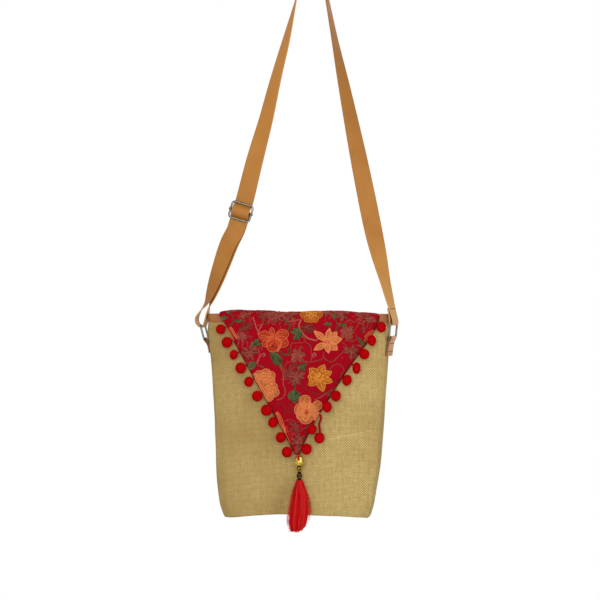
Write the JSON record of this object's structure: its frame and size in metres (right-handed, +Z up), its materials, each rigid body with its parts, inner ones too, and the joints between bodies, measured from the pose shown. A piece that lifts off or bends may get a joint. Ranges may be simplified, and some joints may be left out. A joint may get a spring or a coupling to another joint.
{
  "type": "jute sling bag",
  "caption": "Soft jute sling bag hung by an adjustable leather shoulder strap, with a pointed embroidered cloth flap edged with pompoms and ended by a tassel.",
  "frame": {"origin": "under the top of the shoulder strap, where a peg or shoulder carries it", "axes": "+X to the right as the front is seen, +Y to the back, +Z up"},
  "size_m": [0.2766, 0.0752, 0.7723],
  "materials": {
    "jute_cloth": "coarse plain-woven natural jute, matt",
    "binding_leather": "tan leather, satin",
    "flap_cloth": "red cloth covered with floral chain-stitch embroidery",
    "pompom_wool": "clipped red wool",
    "tassel_thread": "red twisted thread with a soft sheen",
    "gold_metal": "antiqued gold-coloured filigree",
    "nickel_wire": "nickel-plated wire, bright",
    "strap_leather": "tan leather, satin"
  },
  "bodies": {
    "root": {"pouch": "jute_cloth", "mouth_binding": "binding_leather", "flap": "flap_cloth", "pompom_left_1": "pompom_wool", "pompom_left_2": "pompom_wool", "pompom_left_3": "pompom_wool", "pompom_left_4": "pompom_wool", "pompom_left_5": "pompom_wool", "pompom_left_6": "pompom_wool", "pompom_left_7": "pompom_wool", "pompom_left_8": "pompom_wool", "pompom_left_9": "pompom_wool", "pompom_left_10": "pompom_wool", "pompom_right_1": "pompom_wool", "pompom_right_2": "pompom_wool", "pompom_right_3": "pompom_wool", "pompom_right_4": "pompom_wool", "pompom_right_5": "pompom_wool", "pompom_right_6": "pompom_wool", "pompom_right_7": "pompom_wool", "pompom_right_8": "pompom_wool", "pompom_right_9": "pompom_wool", "pompom_right_10": "pompom_wool", "tassel_cord": "tassel_thread", "gold_cap": "gold_metal", "gold_bead": "gold_metal", "jump_ring": "gold_metal", "tassel_cap": "gold_metal", "tassel_skirt": "tassel_thread", "ring_left": "nickel_wire", "ring_right": "nickel_wire", "tab_left": "binding_leather", "tab_right": "binding_leather", "slider": "nickel_wire", "strap": "strap_leather"}
  },
  "joints": []
}
